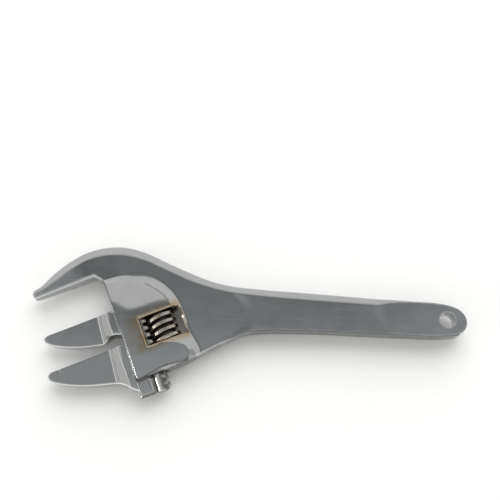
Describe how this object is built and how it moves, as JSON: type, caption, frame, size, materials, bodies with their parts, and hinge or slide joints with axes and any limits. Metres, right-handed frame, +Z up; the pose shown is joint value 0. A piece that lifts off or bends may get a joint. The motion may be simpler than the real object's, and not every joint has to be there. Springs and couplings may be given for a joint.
{
  "type": "adjustable wrench",
  "caption": "Adjustable wrench with a forged body and quick-change jaws that slide in one channel across the head, moved by a knurled worm on a sprung axle.",
  "frame": {"origin": "middle of the underside of the whole wrench's box, with the wrench lying flat", "axes": "+X from the jaws' tips to the end of the handle, +Y across the wrench towards the fixed jaw's back, +Z up, square to the flat of the wrench"},
  "size_m": [0.2286, 0.0798, 0.0154],
  "materials": {
    "body": "satin chrome plate over a drop forging",
    "jaw_large_opening": "satin chrome plate",
    "jaw_small_opening": "satin chrome plate",
    "worm_screw": "bright nickel plate",
    "worm_axle": "plain ground steel",
    "upper_return_spring": "plain spring wire",
    "lower_return_spring": "plain spring wire"
  },
  "bodies": {
    "body": {"body": "body", "upper_return_spring": "upper_return_spring", "lower_return_spring": "lower_return_spring"},
    "axle": {"worm_axle": "worm_axle"},
    "worm": {"worm_screw": "worm_screw"},
    "jaw_large": {"jaw_large_opening": "jaw_large_opening"},
    "jaw_small": {"jaw_small_opening": "jaw_small_opening"}
  },
  "joints": [
    {"name": "worm_retract", "type": "slide", "parent": "body", "child": "axle", "axis": [0.9063, 0.4226, 0], "range_m": [0, 0.0027], "stiffness_N_per_m": 1500, "springref_m": -0.004, "deforming": ["upper_return_spring", "lower_return_spring"]},
    {"name": "worm_spin", "type": "hinge", "parent": "axle", "child": "worm", "pos_m": [-0.04341, -0.00262, 0.0077], "axis": [-0.4226, 0.9063, 0], "range_deg": [0, 1122.1]},
    {"name": "jaw_large_slide", "type": "slide", "parent": "body", "child": "jaw_large", "axis": [0.4226, -0.9063, 0], "range_m": [0, 0.012]},
    {"name": "jaw_small_slide", "type": "slide", "parent": "body", "child": "jaw_small", "axis": [0.4226, -0.9063, 0], "range_m": [0, 0.012]}
  ],
  "couplings": [
    {"joint": "worm_spin", "follows": "jaw_large_slide", "rad_per_m": 1632},
    {"joint": "jaw_small_slide", "follows": "jaw_large_slide", "ratio": 1}
  ]
}
